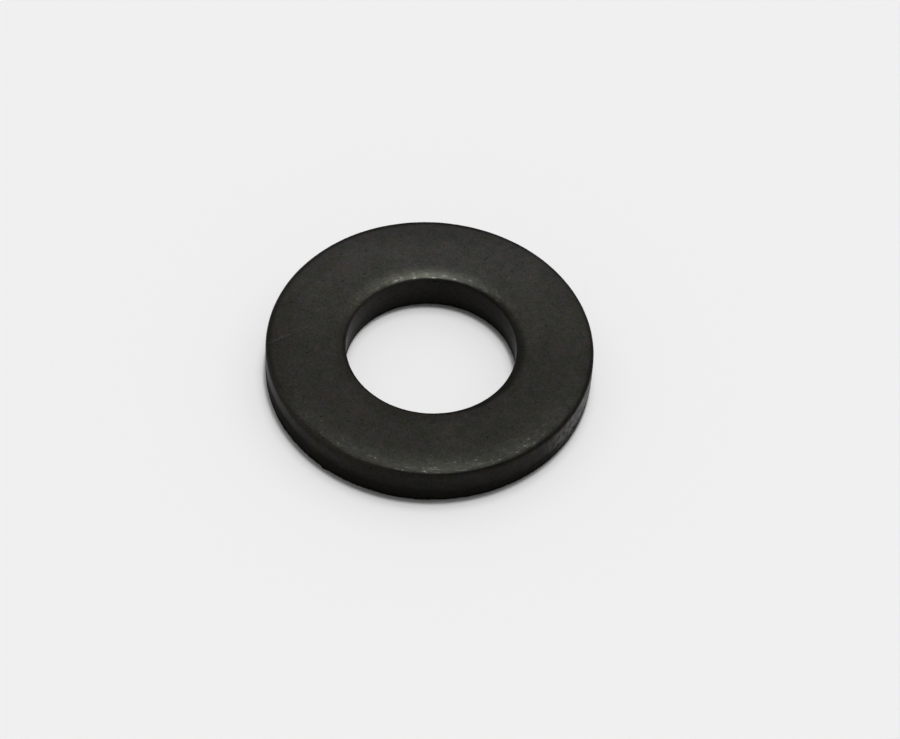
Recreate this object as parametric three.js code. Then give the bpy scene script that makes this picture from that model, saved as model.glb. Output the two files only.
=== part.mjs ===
// A flat washer for an M6 screw, stamped from steel sheet in one stroke.
// Units are millimetres, +Z is up. The origin is the centre of the bore, on the plane of the seat face.
//
// One stroke of a compound die cuts the outer rim and the bore together, so both rims have the same kind of
// cross-section. Read from the head face down, each rim is:
//   a roll, where the sheet was dragged down before the cut began,
//   a small nose that turns the roll into the wall,
//   a land, the bright vertical band that the tool rubbed smooth,
//   a break, the rougher band below it that leans back into the metal,
//   a foot, the small chamfer at the seat face.

import * as THREE from "three";

const OUTER_DIAMETER = 12.5;
const BORE_DIAMETER = 6.5;
const THICKNESS = 1.6;

// A roll's width is how far in from the wall the head face starts to fall, its depth is how far the face has
// fallen where the nose begins, and the fall grows as this power of the distance.
const OUTER_ROLL = { width: 1.2, depth: 0.085, power: 2.4 };
const BORE_ROLL = { width: 0.78, depth: 0.085, power: 2.2 };
const NOSE_RADIUS = 0.13;
const LAND_BOTTOM = 0.66;     // height of the lower end of the land
const BREAK_LEAN = 0.03;      // how far the break leans back by the time it reaches the foot
const FOOT_CHAMFER = 0.022;

const SEGMENTS = 96;          // facets around the washer
const ROLL_STEPS = 5;
const NOSE_STEPS = 3;

// One rim's outline from the edge of the flat head face to the edge of the flat seat face. Each point is
// [depth of metal behind the wall, height]: depth 0 is the land, and a larger depth is further into the metal.
function rimOutline(roll) {
  const points = [];
  const noseTop = THICKNESS - roll.depth;
  const edgeSlope = (roll.power * roll.depth) / (roll.width - NOSE_RADIUS);
  const startAngle = Math.PI / 2 - Math.atan(edgeSlope);
  const noseDepth = NOSE_RADIUS * (1 - Math.cos(startAngle));
  for (let i = 0; i <= ROLL_STEPS; i++) {
    const share = i / ROLL_STEPS;
    const depth = roll.width + (noseDepth - roll.width) * share;
    points.push([depth, THICKNESS - roll.depth * share ** roll.power]);
  }
  const noseCentre = noseTop - NOSE_RADIUS * Math.sin(startAngle);
  for (let i = 1; i <= NOSE_STEPS; i++) {
    const angle = startAngle * (1 - i / NOSE_STEPS);
    points.push([NOSE_RADIUS * (1 - Math.cos(angle)), noseCentre + NOSE_RADIUS * Math.sin(angle)]);
  }
  points.push([0, LAND_BOTTOM]);
  points.push([BREAK_LEAN, FOOT_CHAMFER]);
  points.push([BREAK_LEAN + FOOT_CHAMFER, 0]);
  return points;
}

// The closed cross-section of the ring: down the outer rim, in along the seat face, up the bore rim, and
// back out along the head face.
function ringSection() {
  const outer = rimOutline(OUTER_ROLL).map(
    ([depth, height]) => new THREE.Vector2(OUTER_DIAMETER / 2 - depth, height)
  );
  const bore = rimOutline(BORE_ROLL).map(
    ([depth, height]) => new THREE.Vector2(BORE_DIAMETER / 2 + depth, height)
  );
  const section = [...outer, ...bore.reverse()];
  section.push(section[0].clone());
  return section.reverse();
}

const blackOxideSteel = new THREE.MeshStandardMaterial({
  color: 0x33322e,
  roughness: 0.42,
  metalness: 0.85,
});

const washer = new THREE.Mesh(new THREE.LatheGeometry(ringSection(), SEGMENTS), blackOxideSteel);
washer.name = "washer";
washer.rotation.x = Math.PI / 2; // the lathe turns about +Y, and this stands its axis up along +Z

const group = new THREE.Group();
group.add(washer);

export default group;
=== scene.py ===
"""A stamped flat washer in black oxide steel, lying on a pale table under soft overhead light."""

import math
from dataclasses import dataclass

import bpy
import numpy as np
from mathutils import Matrix, Vector, noise


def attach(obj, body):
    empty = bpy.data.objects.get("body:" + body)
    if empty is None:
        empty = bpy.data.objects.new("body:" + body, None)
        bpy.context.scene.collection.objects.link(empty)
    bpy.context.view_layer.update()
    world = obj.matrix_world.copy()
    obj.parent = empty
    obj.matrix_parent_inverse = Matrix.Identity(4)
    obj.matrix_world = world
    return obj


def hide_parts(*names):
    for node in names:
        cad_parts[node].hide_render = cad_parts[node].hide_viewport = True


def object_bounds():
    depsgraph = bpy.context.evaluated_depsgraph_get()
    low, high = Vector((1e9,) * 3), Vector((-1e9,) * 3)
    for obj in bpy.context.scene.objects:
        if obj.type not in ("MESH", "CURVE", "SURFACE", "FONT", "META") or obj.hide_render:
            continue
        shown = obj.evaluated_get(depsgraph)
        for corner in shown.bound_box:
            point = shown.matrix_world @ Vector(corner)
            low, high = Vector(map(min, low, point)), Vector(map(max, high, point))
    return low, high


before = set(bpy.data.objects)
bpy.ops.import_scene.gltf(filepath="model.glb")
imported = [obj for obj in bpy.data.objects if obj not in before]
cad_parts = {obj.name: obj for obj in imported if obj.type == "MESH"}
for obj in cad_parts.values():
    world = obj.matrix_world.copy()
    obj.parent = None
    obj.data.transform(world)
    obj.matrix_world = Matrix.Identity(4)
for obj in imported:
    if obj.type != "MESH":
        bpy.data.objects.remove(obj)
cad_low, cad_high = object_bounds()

MM = 0.001

# ---------------------------------------------------------------------------------------------------------
# Sizes, in metres and radians. Those of the part come from the frame. Azimuths turn from +X towards +Y.
# ---------------------------------------------------------------------------------------------------------

cad_points = np.array([v.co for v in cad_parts["washer"].data.vertices])
OUTER_RADIUS = float(cad_high.x)
BORE_RADIUS = float(np.hypot(cad_points[:, 0], cad_points[:, 1]).min())
THICKNESS = float(cad_high.z)


@dataclass(frozen=True)
class Rim:
    """A stamped rim. The head face rolls down towards it, and a round nose leads from there to the wall."""

    outward: int        # 1 where the wall faces away from the axis, -1 where it faces the axis
    roll_width: float
    roll_depth: float
    roll_power: float   # the depth grows with this power of the share of the width
    lopsided: float     # how much deeper the roll is at LOPSIDED_AZIMUTH, and shallower opposite, as a share
    nose: float         # radius of the nose
    blunt: float        # how much rounder the nose is in the BLUNT stretch, as a share
    near_blunt: float   # how much rounder it is on the -Y side, and sharper on the +Y side, as a share
    short_land: float   # how much higher the land ends in the SHORT stretch
    tear: float         # how torn the break is, from 0 to 1
    seed: int           # of what wanders at random along the rim


OUTER_RIM = Rim(
    outward=1,
    roll_width=1.20 * MM,
    roll_depth=0.085 * MM,
    roll_power=2.4,
    lopsided=0.0,
    nose=0.13 * MM,
    blunt=0.8,
    near_blunt=0.25,
    short_land=0.22 * MM,
    tear=1.0,
    seed=1,
)
BORE_RIM = Rim(
    outward=-1,
    roll_width=0.78 * MM,
    roll_depth=0.073 * MM,
    roll_power=2.6,
    lopsided=0.22,
    nose=0.13 * MM,
    blunt=0.0,
    near_blunt=0.0,
    short_land=0.0,
    tear=0.3,
    seed=11,
)

FLAT_OUTER = OUTER_RADIUS - OUTER_RIM.roll_width  # where the rolls start on the head face
FLAT_INNER = BORE_RADIUS + BORE_RIM.roll_width
DISH = 0.03 * MM               # the head face is this much lower at the bore than at FLAT_OUTER,
DISH_POWER = 1.4               # and falls with this power of the share of the way in
BORE_SHIFT = Vector((0.052 * MM, 0.035 * MM))  # the punch was set a little off the middle of the blank

LAND_BOTTOM = 0.66 * MM        # mean height of the ragged line where the land ends and the break begins
LAND_RAGGED = 0.09 * MM
LAND_EASE = 0.5                # the polish of the land grows to its full over this share of the nose
BREAK_LEAN = 0.030 * MM        # mean inward lean of the break at the foot
BREAK_LEAN_SWING = 0.014 * MM  # the lean is this much larger at SWING_AZIMUTH, and smaller opposite
BREAK_LEAN_WANDER = 0.006 * MM
BREAK_ROUGH = 0.015 * MM       # height and size of the torn grain on the break
BREAK_GRAIN = 0.16 * MM
FOOT_CHAMFER = 0.016 * MM      # mean size of the ragged chamfer between the break and the seat face
FOOT_SWING = 0.4               # it is larger by this share at SWING_AZIMUTH, and smaller opposite
FOOT_RAGGED = 0.009 * MM
FOOT_LEAST = 0.004 * MM
DENT_DEPTH = 0.0042 * MM       # shallow dents on the rolled edges
DENT_SIZE = 0.42 * MM
DENTS_ALL_OVER = 0.25          # a share of the same dents is added everywhere
BURR_HEIGHT = 0.055 * MM       # one burr on the outer wall, dying out over BURR_FADE above the foot
BURR_FADE = 0.3 * MM


def stretch(azimuth, reach):
    """A stretch of the rim, as its middle and its reach to each side, from degrees."""
    return math.radians(azimuth), math.radians(reach)


BLUNT = stretch(231, 23)   # the outer nose is rounder here
SHORT = stretch(212, 30)   # the land of the outer wall ends higher here
EARLY = stretch(224, 32)   # the land of the outer wall starts higher on the nose here
BRIGHT = stretch(302, 22)  # the land of the outer wall is painted a little lighter here, a stronger painted reflection
GLINT = stretch(-23, 16)   # painted glint: the whole outer wall is lighter and shinier here, down to the foot
CLEAN = stretch(210, 20)   # the outer roll has hardly any scuffs here
BURR = stretch(234, 1.3)
LOPSIDED_AZIMUTH = math.radians(150)
SWING_AZIMUTH = math.radians(-20)

SEGMENTS = 800
ROLL_ROWS = 14
NOSE_ROWS = 7
LAND_ROWS = 7
BREAK_ROWS = 11
FOOT_ROWS = 2
HEAD_ROWS = 21
SEAT_ROWS = 19

# What varies over the surface, from 0 to 1: how much it is a rolled edge, scuffed, dull and darker (the cut
# walls, and a band of painted shade along the rolled edges), polished by the tool and painted lighter as a
# reflection, and torn.
ZONES = ("edge", "scuff", "bare", "land", "torn")
SHADED_ZONES = ZONES[1:]

# ---------------------------------------------------------------------------------------------------------
# Helpers. ANGLES and all that is made from it have one value for each segment.
# ---------------------------------------------------------------------------------------------------------

ANGLES = np.arange(SEGMENTS) * (2 * math.pi / SEGMENTS)
AROUND = np.stack([np.cos(ANGLES), np.sin(ANGLES), np.zeros(SEGMENTS)], axis=1)
ALONG_X, ALONG_Y = AROUND[:, 0], AROUND[:, 1]


def wander(waves, seed):
    """A smooth random value from about -1 to 1 for each segment, with about `waves` swings in one turn."""
    reach = waves / (2 * math.pi)
    offset = Vector((seed * 7.31, seed * 3.17, seed * 1.93))
    return np.array([noise.noise(Vector(a) * reach + offset) for a in AROUND]) * 1.6


def grain(grid, size, seed, octaves):
    """Smooth random values from about -1 to 1 over a grid of points, with features about `size` across."""
    offset = Vector((seed * 5.1, seed * 2.7, seed * 9.3))
    scaled = grid.reshape(-1, 3) / size
    values = np.array([noise.fractal(Vector(p) + offset, 1.0, 2.0, octaves) for p in scaled])
    return values.reshape(grid.shape[:2])


def hill(azimuth, reach):
    """1 at this azimuth, falling to 0 beyond about twice the reach on both sides, for each segment."""
    away = np.angle(np.exp(1j * (ANGLES - azimuth)))
    return np.exp(-((away / reach) ** 2))


def smooth_step(value, low, high):
    share = np.clip((value - low) / (high - low), 0, 1)
    return share * share * (3 - 2 * share)


# ---------------------------------------------------------------------------------------------------------
# The ring, as a grid of rows (around the cross-section) by segments (around the axis)
# ---------------------------------------------------------------------------------------------------------


@dataclass(frozen=True)
class Finish:
    """How the finish of a rim varies, with the painted shade and light laid on it, as arrays with one value
    for each segment.
    """

    bare_width: np.ndarray   # how far in from the wall a band of painted shade darkens the rolled edge
    bareness: np.ndarray     # how strongly the painted shade darkens it there
    land_start: np.ndarray   # the share of the nose at which the polish of the land starts
    polish: np.ndarray       # how polished the land is at its top, and how much lighter its colour is painted there as a reflection
    fade: np.ndarray         # how much of that lightness is lost down to the foot of the land, so that the wall darkens towards the table
    drop: np.ndarray         # how much of the rest is lost down to the foot of the break
    scuffed: np.ndarray      # how strongly the rolled edge is scuffed


def outer_finish():
    glint = hill(*GLINT)
    blunt = hill(*BLUNT)
    return Finish(
        bare_width=(0.29 - 0.04 * ALONG_X - 0.05 * ALONG_Y - 0.04 * ALONG_X**2) * MM,
        bareness=1 - 0.22 * ALONG_X**2 - 0.34 * blunt,
        land_start=0.27 + 0.06 * ALONG_Y + 0.14 * ALONG_X - 0.58 * hill(*EARLY),
        polish=0.62 + 0.30 * hill(*BRIGHT) + 0.28 * blunt,
        # At GLINT the painted glint keeps the wall light down to the foot.
        fade=0.72 - 0.50 * glint,
        drop=0.85 - 0.50 * glint,
        scuffed=(0.18 + 0.82 * smooth_step(-ALONG_Y, 0.25, 0.85)) * (1 - 0.8 * hill(*CLEAN)),
    )


def bore_finish():
    return Finish(
        bare_width=(0.13 + 0.15 * ALONG_X - 0.04 * ALONG_Y + 0.20 * ALONG_X**2) * MM,
        bareness=1 - 0.22 * ALONG_X**2,
        land_start=0.27 - 0.06 * ALONG_Y + 0.14 * ALONG_X,
        polish=0.54 - 0.42 * ALONG_X - 0.22 * ALONG_Y,
        fade=0.72 - 0.45 * ALONG_X**2,
        drop=np.full(SEGMENTS, 0.85),
        scuffed=0.18 + 0.82 * smooth_step(ALONG_Y, 0.25, 0.85),
    )


def grid_row(height, **values):
    """One row of the grid: its height, and the other values given, each spread over all the segments."""
    values = {"height": height, **dict.fromkeys(ZONES, 0.0), **values}
    return {name: np.broadcast_to(value, SEGMENTS).astype(float) for name, value in values.items()}


def nose_start(rim, nose_radius):
    """Where the roll meets the nose with the same slope: the angle on the nose and the depth of metal."""
    start = math.pi / 2
    for _ in range(4):
        depth = nose_radius * (1 - np.cos(start))
        start = math.pi / 2 - np.arctan(rim.roll_power * rim.roll_depth / (rim.roll_width - depth))
    return start, depth


def rolled_rows(rim, finish):
    """The roll and the nose, and the height at which the nose meets the wall."""
    nose_radius = rim.nose * (1 + rim.blunt * hill(*BLUNT) - rim.near_blunt * ALONG_Y)
    roll_depth = rim.roll_depth * (1 + 0.10 * wander(5, rim.seed) + 0.05 * wander(26, rim.seed + 1))
    roll_depth *= 1 + rim.lopsided * np.cos(ANGLES - LOPSIDED_AZIMUTH)
    start, start_depth = nose_start(rim, nose_radius)
    nose_centre = THICKNESS - roll_depth - nose_radius * np.sin(start)

    def bared(depth):
        """How strongly the band of painted shade darkens the rolled edge this far in: fully near the wall,
        and not at all past its width. It stands in for the shade on the noses and on the sides of the bore
        roll, which face away from the light.
        """
        fully = (0.36 + 0.20 * rim.outward * ALONG_Y) * finish.bare_width
        return finish.bareness * (1 - smooth_step(depth, fully, finish.bare_width))

    rows = []
    for share in np.arange(ROLL_ROWS) / ROLL_ROWS:
        depth = rim.roll_width + (start_depth - rim.roll_width) * share
        height = THICKNESS - roll_depth * share**rim.roll_power
        edge = share**2
        scuff = edge * finish.scuffed
        rows.append(grid_row(height, depth=depth, edge=edge, scuff=scuff, bare=bared(depth)))
    for share in np.arange(NOSE_ROWS) / NOSE_ROWS:
        angle = start * (1 - share)
        depth = nose_radius * (1 - np.cos(angle))
        height = nose_centre + nose_radius * np.sin(angle)
        edge = 1 - share
        scuff = edge * finish.scuffed
        land = finish.polish * smooth_step(share, finish.land_start, finish.land_start + LAND_EASE)
        bare = np.maximum(bared(depth), land)
        rows.append(grid_row(height, depth=depth, edge=edge, scuff=scuff, bare=bare, land=land))
    return rows, nose_centre


def wall_rows(rim, finish, land_top):
    """The land that the tool rubbed smooth, the break that tore, and the foot."""
    ragged = 0.6 * wander(7, rim.seed + 2) + 0.4 * wander(60, rim.seed + 3)
    land_bottom = LAND_BOTTOM + LAND_RAGGED * ragged + rim.short_land * hill(*SHORT)
    swing = np.cos(ANGLES - SWING_AZIMUTH)
    lean = BREAK_LEAN + BREAK_LEAN_SWING * swing + BREAK_LEAN_WANDER * wander(18, rim.seed + 4)
    foot = FOOT_CHAMFER * (1 + FOOT_SWING * swing)
    foot += FOOT_RAGGED * (wander(40, rim.seed + 5) + wander(150, rim.seed + 6))
    foot = np.maximum(FOOT_LEAST, foot)

    rows = []
    for share in np.arange(LAND_ROWS) / LAND_ROWS:
        height = land_top + (land_bottom - land_top) * share
        land = finish.polish * (1 - finish.fade * share**1.5)
        rows.append(grid_row(height, depth=0.0, bare=1.0, land=land))
    for share in np.arange(BREAK_ROWS) / BREAK_ROWS:
        height = land_bottom + (foot - land_bottom) * share
        land = finish.polish * (1 - finish.fade) * (1 - finish.drop * share)
        torn = rim.tear * min(1.0, 4 * share + 0.2)
        rows.append(grid_row(height, depth=lean * share**1.3, bare=1.0, land=land, torn=torn))
    for share in np.arange(FOOT_ROWS) / FOOT_ROWS:
        rows.append(grid_row(foot * (1 - share), depth=lean + foot * share, bare=1.0, torn=rim.tear))
    return rows


def rim_rows(rim, finish):
    """One rim, from the flat part of the head face down to the seat face. Each row has the depth of metal
    behind the wall."""
    rolled, land_top = rolled_rows(rim, finish)
    return rolled + wall_rows(rim, finish, land_top)


def flat_rows(start, end, height, count):
    """Rows across a flat face, strictly between two radii."""
    shares = np.arange(1, count + 1) / (count + 1)
    return [grid_row(height, radius=start + (end - start) * share) for share in shares]


def ring_rows():
    """The closed cross-section: down the outer rim, in along the seat face, up the bore, out along the head
    face. Each row has its radius."""
    outer = [{**row, "radius": OUTER_RADIUS - row["depth"]} for row in rim_rows(OUTER_RIM, outer_finish())]
    bore = [{**row, "radius": BORE_RADIUS + row["depth"]} for row in rim_rows(BORE_RIM, bore_finish())]
    bore.reverse()
    seat = flat_rows(outer[-1]["radius"], bore[0]["radius"], 0.0, SEAT_ROWS)
    head = flat_rows(FLAT_INNER, FLAT_OUTER, THICKNESS, HEAD_ROWS)
    return outer + seat + bore + head


def surface_normals(grid):
    """Unit normals of the grid of points, from the differences between neighbours."""
    along = np.roll(grid, -1, axis=0) - np.roll(grid, 1, axis=0)
    around = np.roll(grid, -1, axis=1) - np.roll(grid, 1, axis=1)
    normals = np.cross(around, along)
    return normals / np.linalg.norm(normals, axis=2, keepdims=True)


def ring_grid(radius, height, zones):
    """The points of the ring, with its burr, torn grain, dents, dished head face and shifted bore."""
    outer_break = zones["torn"] * (radius > (OUTER_RADIUS + BORE_RADIUS) / 2)
    radius = radius + BURR_HEIGHT * hill(*BURR) * outer_break * np.exp(-height / BURR_FADE)
    grid = radius[:, :, None] * AROUND
    grid[:, :, 2] = height
    rough = BREAK_ROUGH * zones["torn"] * grain(grid, BREAK_GRAIN, 3, 3)
    dents = DENT_DEPTH * (DENTS_ALL_OVER + zones["edge"]) * grain(grid, DENT_SIZE, 5, 2)
    grid += surface_normals(grid) * (rough + dents)[:, :, None]

    share_down = np.clip((FLAT_OUTER - radius) / (FLAT_OUTER - BORE_RADIUS), 0, 1)
    grid[:, :, 2] -= DISH * share_down**DISH_POWER * height / THICKNESS
    share_in = (OUTER_RADIUS - radius) / (OUTER_RADIUS - BORE_RADIUS)
    grid[:, :, 0] += BORE_SHIFT.x * share_in
    grid[:, :, 1] += BORE_SHIFT.y * share_in
    return grid


def ring_faces(count):
    """Quads between neighbouring rows and segments of a grid that closes on itself both ways."""
    index = np.arange(count * SEGMENTS).reshape(count, SEGMENTS)
    below = np.roll(index, -1, axis=0)
    beside = np.roll(index, -1, axis=1)
    corner = np.roll(below, -1, axis=1)
    return np.stack([index, below, corner, beside], axis=-1).reshape(-1, 4)


def build_ring():
    rows = ring_rows()
    radius = np.array([row["radius"] for row in rows])
    height = np.array([row["height"] for row in rows])
    zones = {name: np.array([row[name] for row in rows]) for name in ZONES}
    grid = ring_grid(radius, height, zones)
    faces = ring_faces(len(rows))
    mesh = bpy.data.meshes.new("washer_ring")
    mesh.from_pydata(grid.reshape(-1, 3).tolist(), [], faces.tolist())
    for name in SHADED_ZONES:
        layer = mesh.attributes.new(name, "FLOAT", "POINT")
        layer.data.foreach_set("value", zones[name].astype(np.float32).ravel())
    mesh.polygons.foreach_set("use_smooth", np.ones(len(faces), bool))
    mesh.update()
    ring = bpy.data.objects.new("washer_ring", mesh)
    bpy.context.scene.collection.objects.link(ring)
    return ring


# ---------------------------------------------------------------------------------------------------------
# Materials
# ---------------------------------------------------------------------------------------------------------


class Shader:
    """A node tree built by short calls, each of which adds nodes and returns an output socket."""

    def __init__(self, owner):
        owner.use_nodes = True
        self.owner = owner
        self.tree = owner.node_tree

    def node(self, kind, inputs, output=0, **settings):
        made = self.tree.nodes.new("ShaderNode" + kind)
        for key, value in settings.items():
            setattr(made, key, value)
        for key, value in inputs.items():
            self.plug(made.inputs[key], value)
        return made.outputs[output]

    def plug(self, socket, value):
        if isinstance(value, bpy.types.NodeSocket):
            self.tree.links.new(value, socket)
        else:
            socket.default_value = value

    def math(self, operation, a, b=0.0, clamp=False):
        return self.node("Math", {0: a, 1: b}, operation=operation, use_clamp=clamp)

    def times(self, first, *others):
        product = first
        for other in others:
            product = self.math("MULTIPLY", product, other)
        return product

    def plus(self, first, *others):
        total = first
        for other in others:
            total = self.math("ADD", total, other)
        return total

    def vector(self, operation, a, b=(0, 0, 0), output=0):
        return self.node("VectorMath", {0: a, 1: b}, output, operation=operation)

    def noise(self, where, scale, detail, roughness=0.5):
        inputs = {"Vector": where, "Scale": scale, "Detail": detail, "Roughness": roughness}
        return self.node("TexNoise", inputs)

    def span(self, value, low, high, to_low=0.0, to_high=1.0, smooth=False):
        """value, stretched so that low becomes to_low and high becomes to_high, held at the ends."""
        inputs = {0: value, 1: low, 2: high, 3: to_low, 4: to_high}
        kind = "SMOOTHSTEP" if smooth else "LINEAR"
        return self.node("MapRange", inputs, clamp=True, interpolation_type=kind)

    def blend(self, share, a, b):
        return self.node("Mix", {0: share, 6: a, 7: b}, output=2, data_type="RGBA")

    def tint(self, a, b):
        """Two colours multiplied together."""
        return self.node("Mix", {0: 1.0, 6: a, 7: b}, output=2, data_type="RGBA", blend_type="MULTIPLY")

    def attribute(self, name):
        return self.node("Attribute", {}, output="Fac", attribute_name=name)

    def axis(self, vector, name):
        return self.node("SeparateXYZ", {0: vector}, output=name)


# Scales of the noises, in features per millimetre.
CLOUDS = 0.6
DRIFTS = 1.9
PATCHES = 3.4
BLOTCHES = 5.5
STREAKS = 6.0
SPARKLES = 8.5
PITS = 9.0
FINE = 13.0

OLIVE = (0.0151, 0.0169, 0.0123, 1.0)
RUSSET = (0.0199, 0.0153, 0.0148, 1.0)
STRAW = (1.02, 1.00, 0.80, 1.0)
SLATE = (0.98, 1.00, 1.20, 1.0)
SHEEN_TINT = (0.97, 1.0, 0.84, 1.0)
FACE_SPECULAR = 0.175  # specular level of the plain head face; other places are set relative to it
SCRATCH = ((-6.13, -0.42), (-5.36, 0.03))  # its ends on the head face, in millimetres
SCRATCH_WIDTH = 0.05


def scratch(s, mm):
    """1 on the straight scratch on the head face, falling to 0 beside it."""
    start, end = (Vector((*point, 0)) for point in SCRATCH)
    along = (end - start).normalized()
    length = (end - start).length
    from_start = s.vector("SUBTRACT", s.vector("MULTIPLY", mm, (1, 1, 0)), start)
    reach = s.vector("DOT_PRODUCT", from_start, along, output="Value")
    held = s.span(reach, 0.0, length, 0.0, length)
    foot = s.node("VectorMath", {0: along, "Scale": held}, operation="SCALE")
    distance = s.vector("DISTANCE", from_start, foot, output="Value")
    on_line = s.span(distance, SCRATCH_WIDTH * 0.3, SCRATCH_WIDTH, 1.0, 0.0)
    on_head_face = s.span(s.axis(mm, "Z"), 1.1, 1.3)
    return s.times(on_line, on_head_face)


def oxide_tone_and_light(s, mm, patches, fine):
    """How light the surface is, about 1: painted light makes it lighter towards +Y and painted shade makes
    it darker near the outer rim on +Y; it is also clouded, mottled and pitted, with a scratch.
    """
    y = s.axis(mm, "Y")
    clouds = s.noise(mm, CLOUDS, 3)
    pits = s.span(s.noise(mm, PITS, 1), 0.24, 0.31, 0.45, 1.0)
    # Painted light and shade: lighter towards +Y, and a little darker near the outer rim on +Y.
    tone_and_light = s.times(s.span(y, -1.0, 4.5, 0.785, 1.16, smooth=True), s.span(y, 4.9, 6.0, 1.0, 0.90))
    tone_and_light = s.times(tone_and_light, s.span(clouds, 0.3, 0.7, 0.9, 1.1), s.span(patches, 0.3, 0.7, 0.88, 1.12))
    tone_and_light = s.times(tone_and_light, s.span(fine, 0.25, 0.75, 0.64, 1.36), pits)
    return s.plus(tone_and_light, s.times(scratch(s, mm), s.span(fine, 0.30, 0.60), 0.6))


def oxide_colour(s, mm, patches, tone_and_light, zones):
    """Olive with russet patches, drifting from straw to slate; darker on the cut walls and in a band of
    painted shade along the rolled edges, and lighter on the polished land, where it is a painted reflection.
    """
    drifts = s.noise(mm, DRIFTS, 4, 0.6)
    colour = s.blend(s.span(patches, 0.38, 0.62), OLIVE, RUSSET)
    far_side = s.span(s.axis(mm, "Y"), 2.0, 5.0, 0.0, 0.4)
    cool = s.math("ADD", s.span(drifts, 0.36, 0.64), far_side, clamp=True)
    colour = s.tint(colour, s.blend(cool, STRAW, SLATE))
    # Painted shade: darker in the band along the rolled edges, and darker on the dull cut walls; painted
    # reflection: lighter on the polished land.
    finish_and_painted_light = s.times(s.span(zones["bare"], 0.0, 1.0, 1.0, 0.60), s.span(zones["land"], 0.0, 1.0, 1.0, 2.6))
    value = s.times(tone_and_light, finish_and_painted_light)
    return s.tint(colour, s.node("CombineColor", {0: value, 1: value, 2: value}))


def oxide_roughness(s, fine, zones):
    """Satin, rougher on the break and a little smoother where the rolled edge is scuffed."""
    satin = s.span(fine, 0.3, 0.7, 0.34, 0.42)
    return s.plus(satin, s.times(zones["torn"], 0.2), s.times(zones["scuff"], -0.02))


def scuffs(s, mm, outward, radius):
    """Bright marks on the rolled edges: rubbed streaks around the ring, with flecks and sparkles in them."""
    around = s.vector("MULTIPLY", outward, (1.7, 1.7, 0))
    around = s.vector("ADD", around, s.node("CombineXYZ", {"Z": s.times(radius, 2.0)}))
    streaks = s.noise(around, STREAKS, 3, 0.65)
    rubbed = s.span(streaks, 0.52, 0.66)
    flecks = s.span(streaks, 0.63, 0.70)
    sparkles = s.times(s.span(s.noise(mm, SPARKLES, 1), 0.64, 0.71), s.span(rubbed, 0.0, 0.3))
    return s.plus(rubbed, s.times(flecks, 2.3), s.times(sparkles, 5.1))


def wall_shine(s, mm, outward, radius, zones):
    """How much the dull places shine, relative to the face: little, but for a blotchy painted glint at
    GLINT.
    """
    azimuth = GLINT[0]
    facing = s.vector("DOT_PRODUCT", outward, (math.cos(azimuth), math.sin(azimuth), 0), output="Value")
    patch = s.times(s.span(facing, math.cos(0.38), math.cos(0.14)), s.span(radius, 5.9, 6.1))
    blotches = s.noise(s.vector("MULTIPLY", mm, (1, 1, 0.8)), BLOTCHES, 3, 0.7)
    # Painted glint: a blotchy patch of stronger sheen high on the outer wall at GLINT.
    glint = s.times(patch, s.span(blotches, 0.40, 0.62), s.span(zones["land"], 0.06, 0.40))
    return s.plus(s.span(zones["torn"], 0.0, 1.0, 0.16, 0.09), glint)


def oxide_sheen(s, mm, tone_and_light, zones):
    """The specular level: FACE_SPECULAR times how much each place shines, relative to the plain face."""
    flat = s.vector("MULTIPLY", mm, (1, 1, 0))
    outward = s.vector("NORMALIZE", flat)
    radius = s.vector("LENGTH", flat, output="Value")
    face = s.plus(1.0, s.times(zones["scuff"], scuffs(s, mm, outward, radius)))
    wall = wall_shine(s, mm, outward, radius, zones)
    finished = s.math("SUBTRACT", 1.0, zones["bare"])
    shine = s.plus(s.times(face, finished), s.times(zones["bare"], wall))
    # The painted light and shade scale the sheen as well as the colour.
    return s.times(shine, tone_and_light, FACE_SPECULAR)


def black_oxide():
    s = Shader(bpy.data.materials.new("black_oxide_steel"))
    surface = s.tree.nodes["Principled BSDF"]
    mm = s.vector("MULTIPLY", s.node("TexCoord", {}, output="Object"), (1000, 1000, 1000))
    zones = {name: s.attribute(name) for name in SHADED_ZONES}
    patches = s.noise(mm, PATCHES, 3, 0.65)
    fine = s.noise(mm, FINE, 3, 0.75)
    tone_and_light = oxide_tone_and_light(s, mm, patches, fine)
    s.plug(surface.inputs["Base Color"], oxide_colour(s, mm, patches, tone_and_light, zones))
    s.plug(surface.inputs["Roughness"], oxide_roughness(s, fine, zones))
    s.plug(surface.inputs["Metallic"], 0.0)
    s.plug(surface.inputs["Specular IOR Level"], oxide_sheen(s, mm, tone_and_light, zones))
    s.plug(surface.inputs["Specular Tint"], SHEEN_TINT)
    bump = s.node("Bump", {"Strength": 0.5, "Distance": 0.005 * MM, "Height": fine})
    s.plug(surface.inputs["Normal"], bump)
    return s.owner


def pale_table():
    s = Shader(bpy.data.materials.new("pale_table"))
    surface = s.tree.nodes["Principled BSDF"]
    s.plug(surface.inputs["Base Color"], (0.9, 0.9, 0.9, 1.0))
    s.plug(surface.inputs["Roughness"], 0.9)
    s.plug(surface.inputs["Specular IOR Level"], 0.1)
    return s.owner


# ---------------------------------------------------------------------------------------------------------
# Stage: table, light and camera
# ---------------------------------------------------------------------------------------------------------

TABLE_RADIUS = 3.0
TABLE_CORNERS = 64
TABLE_GAP = 0.005 * MM  # between the table and the seat face, so that they don't coincide

# Two overhead lights: how far each leans towards +X and +Y for 1 up, its apparent width, and its strength.
OVERHEAD = {
    "overhead_spot": ((0.045, 0.120), math.radians(6), 1.065),
    "overhead_panel": ((0.045, 0.225), math.radians(24), 1.065),
}

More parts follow.
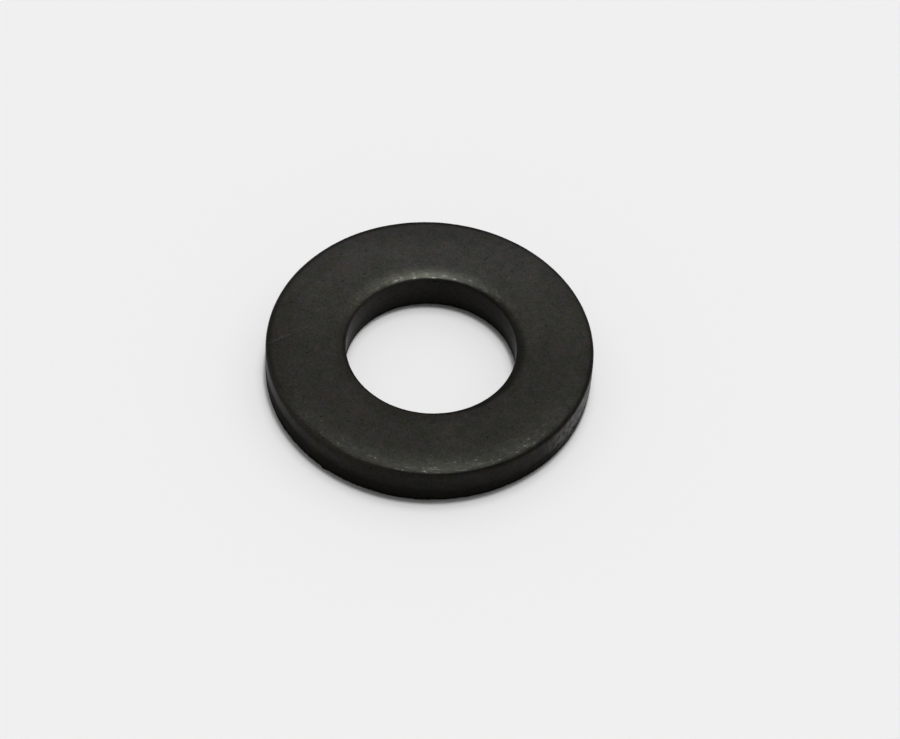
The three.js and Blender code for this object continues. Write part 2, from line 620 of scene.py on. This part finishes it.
# A wide window adds light to the room, fully within one angle and less up to another.
WINDOW_BRIGHTNESS = 0.20
WINDOW_AZIMUTH = math.radians(34)  # from +Y towards +X
WINDOW_SIDES = math.radians(30), math.radians(80)   # from WINDOW_AZIMUTH to each side
WINDOW_HEIGHTS = math.radians(46), math.radians(14)  # above the horizon

ROOM_LOW, ROOM_HIGH = 0.28, 0.38  # brightness of the room at the horizon and high up
ROOM_DARK = 0.03                  # the share of it that is left high up on the -Y side
BACKDROP = 0.855                  # what the camera sees behind the table


def make_table():
    angles = [i * 2 * math.pi / TABLE_CORNERS for i in range(TABLE_CORNERS)]
    points = [(TABLE_RADIUS * math.cos(a), TABLE_RADIUS * math.sin(a), 0) for a in angles]
    mesh = bpy.data.meshes.new("table")
    mesh.from_pydata(points, [], [tuple(range(TABLE_CORNERS))])
    mesh.materials.append(pale_table())
    table = bpy.data.objects.new("table", mesh)
    table.location.z = -TABLE_GAP
    bpy.context.scene.collection.objects.link(table)


def make_overhead_lights():
    for name, (lean, width, strength) in OVERHEAD.items():
        light = bpy.data.lights.new(name, "SUN")
        light.energy = strength
        light.angle = width
        lamp = bpy.data.objects.new(name, light)
        lamp.rotation_euler = Vector((*lean, 1.0)).to_track_quat("Z", "Y").to_euler()
        bpy.context.scene.collection.objects.link(lamp)


def make_room():
    """Light from the room: a soft grey dome with one wide window, and dark high up on the -Y side."""
    world = bpy.data.worlds.new("studio")
    bpy.context.scene.world = world
    s = Shader(world)
    direction = s.node("TexCoord", {}, output="Generated")
    y = s.axis(direction, "Y")
    z = s.axis(direction, "Z")

    # The level part of the direction, kept just above 0 at the zenith because it divides.
    level = s.math("SQRT", s.math("SUBTRACT", 1.0001, s.times(z, z)))
    towards_window = (math.sin(WINDOW_AZIMUTH), math.cos(WINDOW_AZIMUTH), 0)
    facing = s.math("DIVIDE", s.vector("DOT_PRODUCT", direction, towards_window, output="Value"), level)
    inner, outer = WINDOW_SIDES
    beside = s.span(facing, math.cos(outer), math.cos(inner), smooth=True)
    high, low = WINDOW_HEIGHTS
    above = s.span(z, math.sin(low), math.sin(high), smooth=True)
    window = s.times(above, beside, WINDOW_BRIGHTNESS)

    lit = s.math("MAXIMUM", s.span(y, -0.55, 0.10, smooth=True), s.span(z, 0.26, 0.52, 1.0, 0.0))
    room = s.times(s.span(z, 0.0, 0.9, ROOM_LOW, ROOM_HIGH), s.span(lit, 0.0, 1.0, ROOM_DARK, 1.0))

    camera_ray = s.node("LightPath", {}, output="Is Camera Ray")
    brightness = s.node("Mix", {0: camera_ray, 2: s.plus(room, window), 3: BACKDROP}, data_type="FLOAT")
    background = s.tree.nodes["Background"]
    s.plug(background.inputs["Strength"], brightness)
    s.plug(background.inputs["Color"], (1, 1, 1, 1))


ELEVATION = math.radians(51.15)   # the camera looks towards +Y, down from this height
CAMERA_ROLL = math.radians(3.75)
LENS = 160.0                      # millimetres, on a sensor 36 mm wide
DISTANCE = 12.22 * 2 * OUTER_RADIUS
OFF_CENTRE = (-0.00519, -0.0031)  # where the washer stands, right of and below the middle, per unit distance


def make_camera():
    right = Vector((1, 0, 0))
    down = Vector((0, -math.sin(ELEVATION), -math.cos(ELEVATION)))
    forward = Vector((0, math.cos(ELEVATION), -math.sin(ELEVATION)))
    camera_right = right * math.cos(CAMERA_ROLL) - down * math.sin(CAMERA_ROLL)
    camera_down = right * math.sin(CAMERA_ROLL) + down * math.cos(CAMERA_ROLL)
    centre = (cad_low + cad_high) / 2
    to_centre = (camera_right * OFF_CENTRE[0] + camera_down * OFF_CENTRE[1] + forward) * DISTANCE
    turn = Matrix((camera_right, -camera_down, -forward)).transposed()
    data = bpy.data.cameras.new("camera")
    data.lens = LENS
    data.clip_start = 0.01
    camera = bpy.data.objects.new("camera", data)
    camera.matrix_world = Matrix.Translation(centre - to_centre) @ turn.to_4x4()
    bpy.context.scene.collection.objects.link(camera)
    bpy.context.scene.camera = camera


# ---------------------------------------------------------------------------------------------------------

ring = build_ring()
ring.data.materials.append(black_oxide())
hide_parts("washer")
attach(ring, "root")
make_table()
make_overhead_lights()
make_room()
make_camera()
bpy.context.scene.view_settings.view_transform = "Standard"
